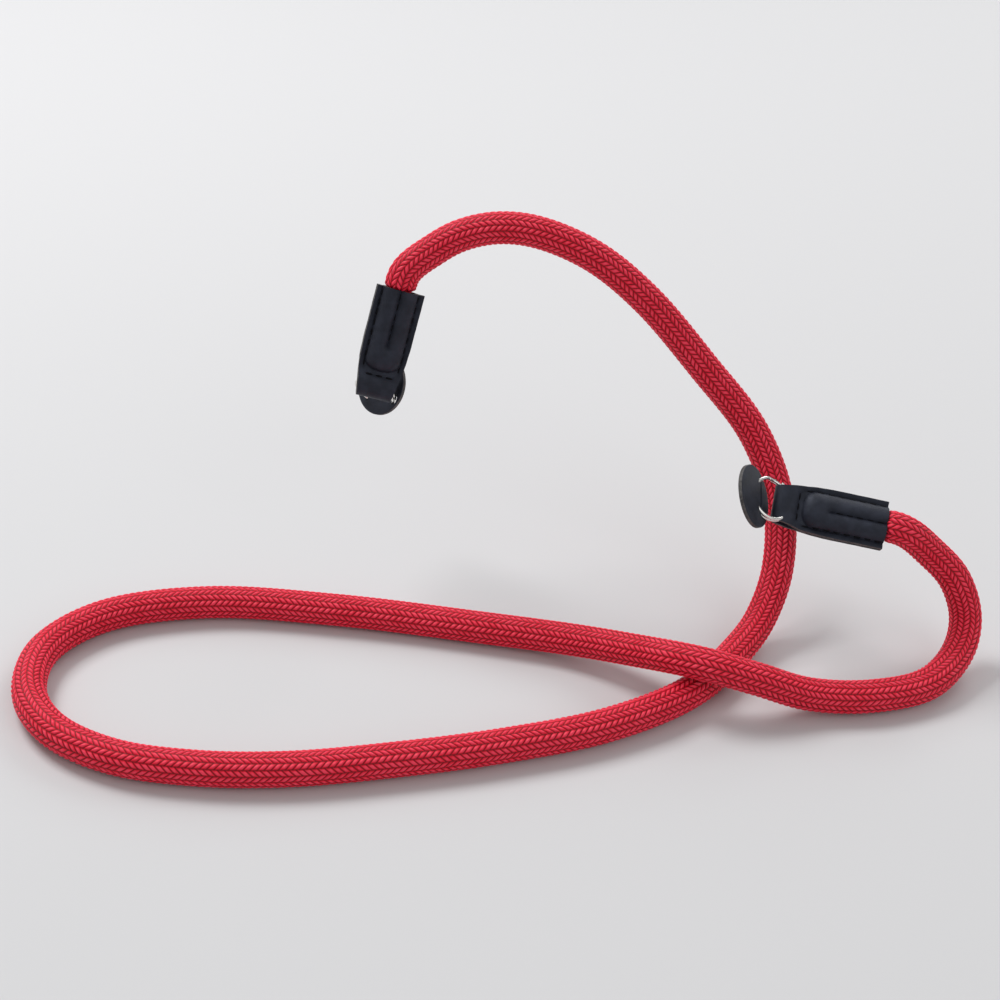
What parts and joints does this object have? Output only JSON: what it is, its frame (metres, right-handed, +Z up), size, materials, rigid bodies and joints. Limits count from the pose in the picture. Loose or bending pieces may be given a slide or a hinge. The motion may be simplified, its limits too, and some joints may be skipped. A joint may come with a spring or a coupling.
{
  "type": "rope camera strap",
  "caption": "Neck strap for a camera: one length of thick round braided rope in an open loop, with stitched leather end tabs, split rings and leather guard discs at both ends.",
  "frame": {"origin": "the place where the left split ring hangs on the lug of the device that the strap is made for", "axes": "+Z up, +X from the left lug towards the right lug, +Y from the front of the device towards its back, away from the floor loop of the rope"},
  "size_m": [0.2964, 0.1856, 0.127],
  "materials": {
    "braided_rope": "round braid of red synthetic yarn",
    "black_leather": "smooth black leather with a fine grain and raw dark grey edges",
    "nickel_wire": "bright nickel-plated spring wire"
  },
  "bodies": {
    "root": {"rope": "braided_rope", "left_split_ring": "nickel_wire", "left_guard": "black_leather", "left_end_tab": "black_leather", "right_split_ring": "nickel_wire", "right_guard": "black_leather", "right_end_tab": "black_leather"}
  },
  "joints": []
}
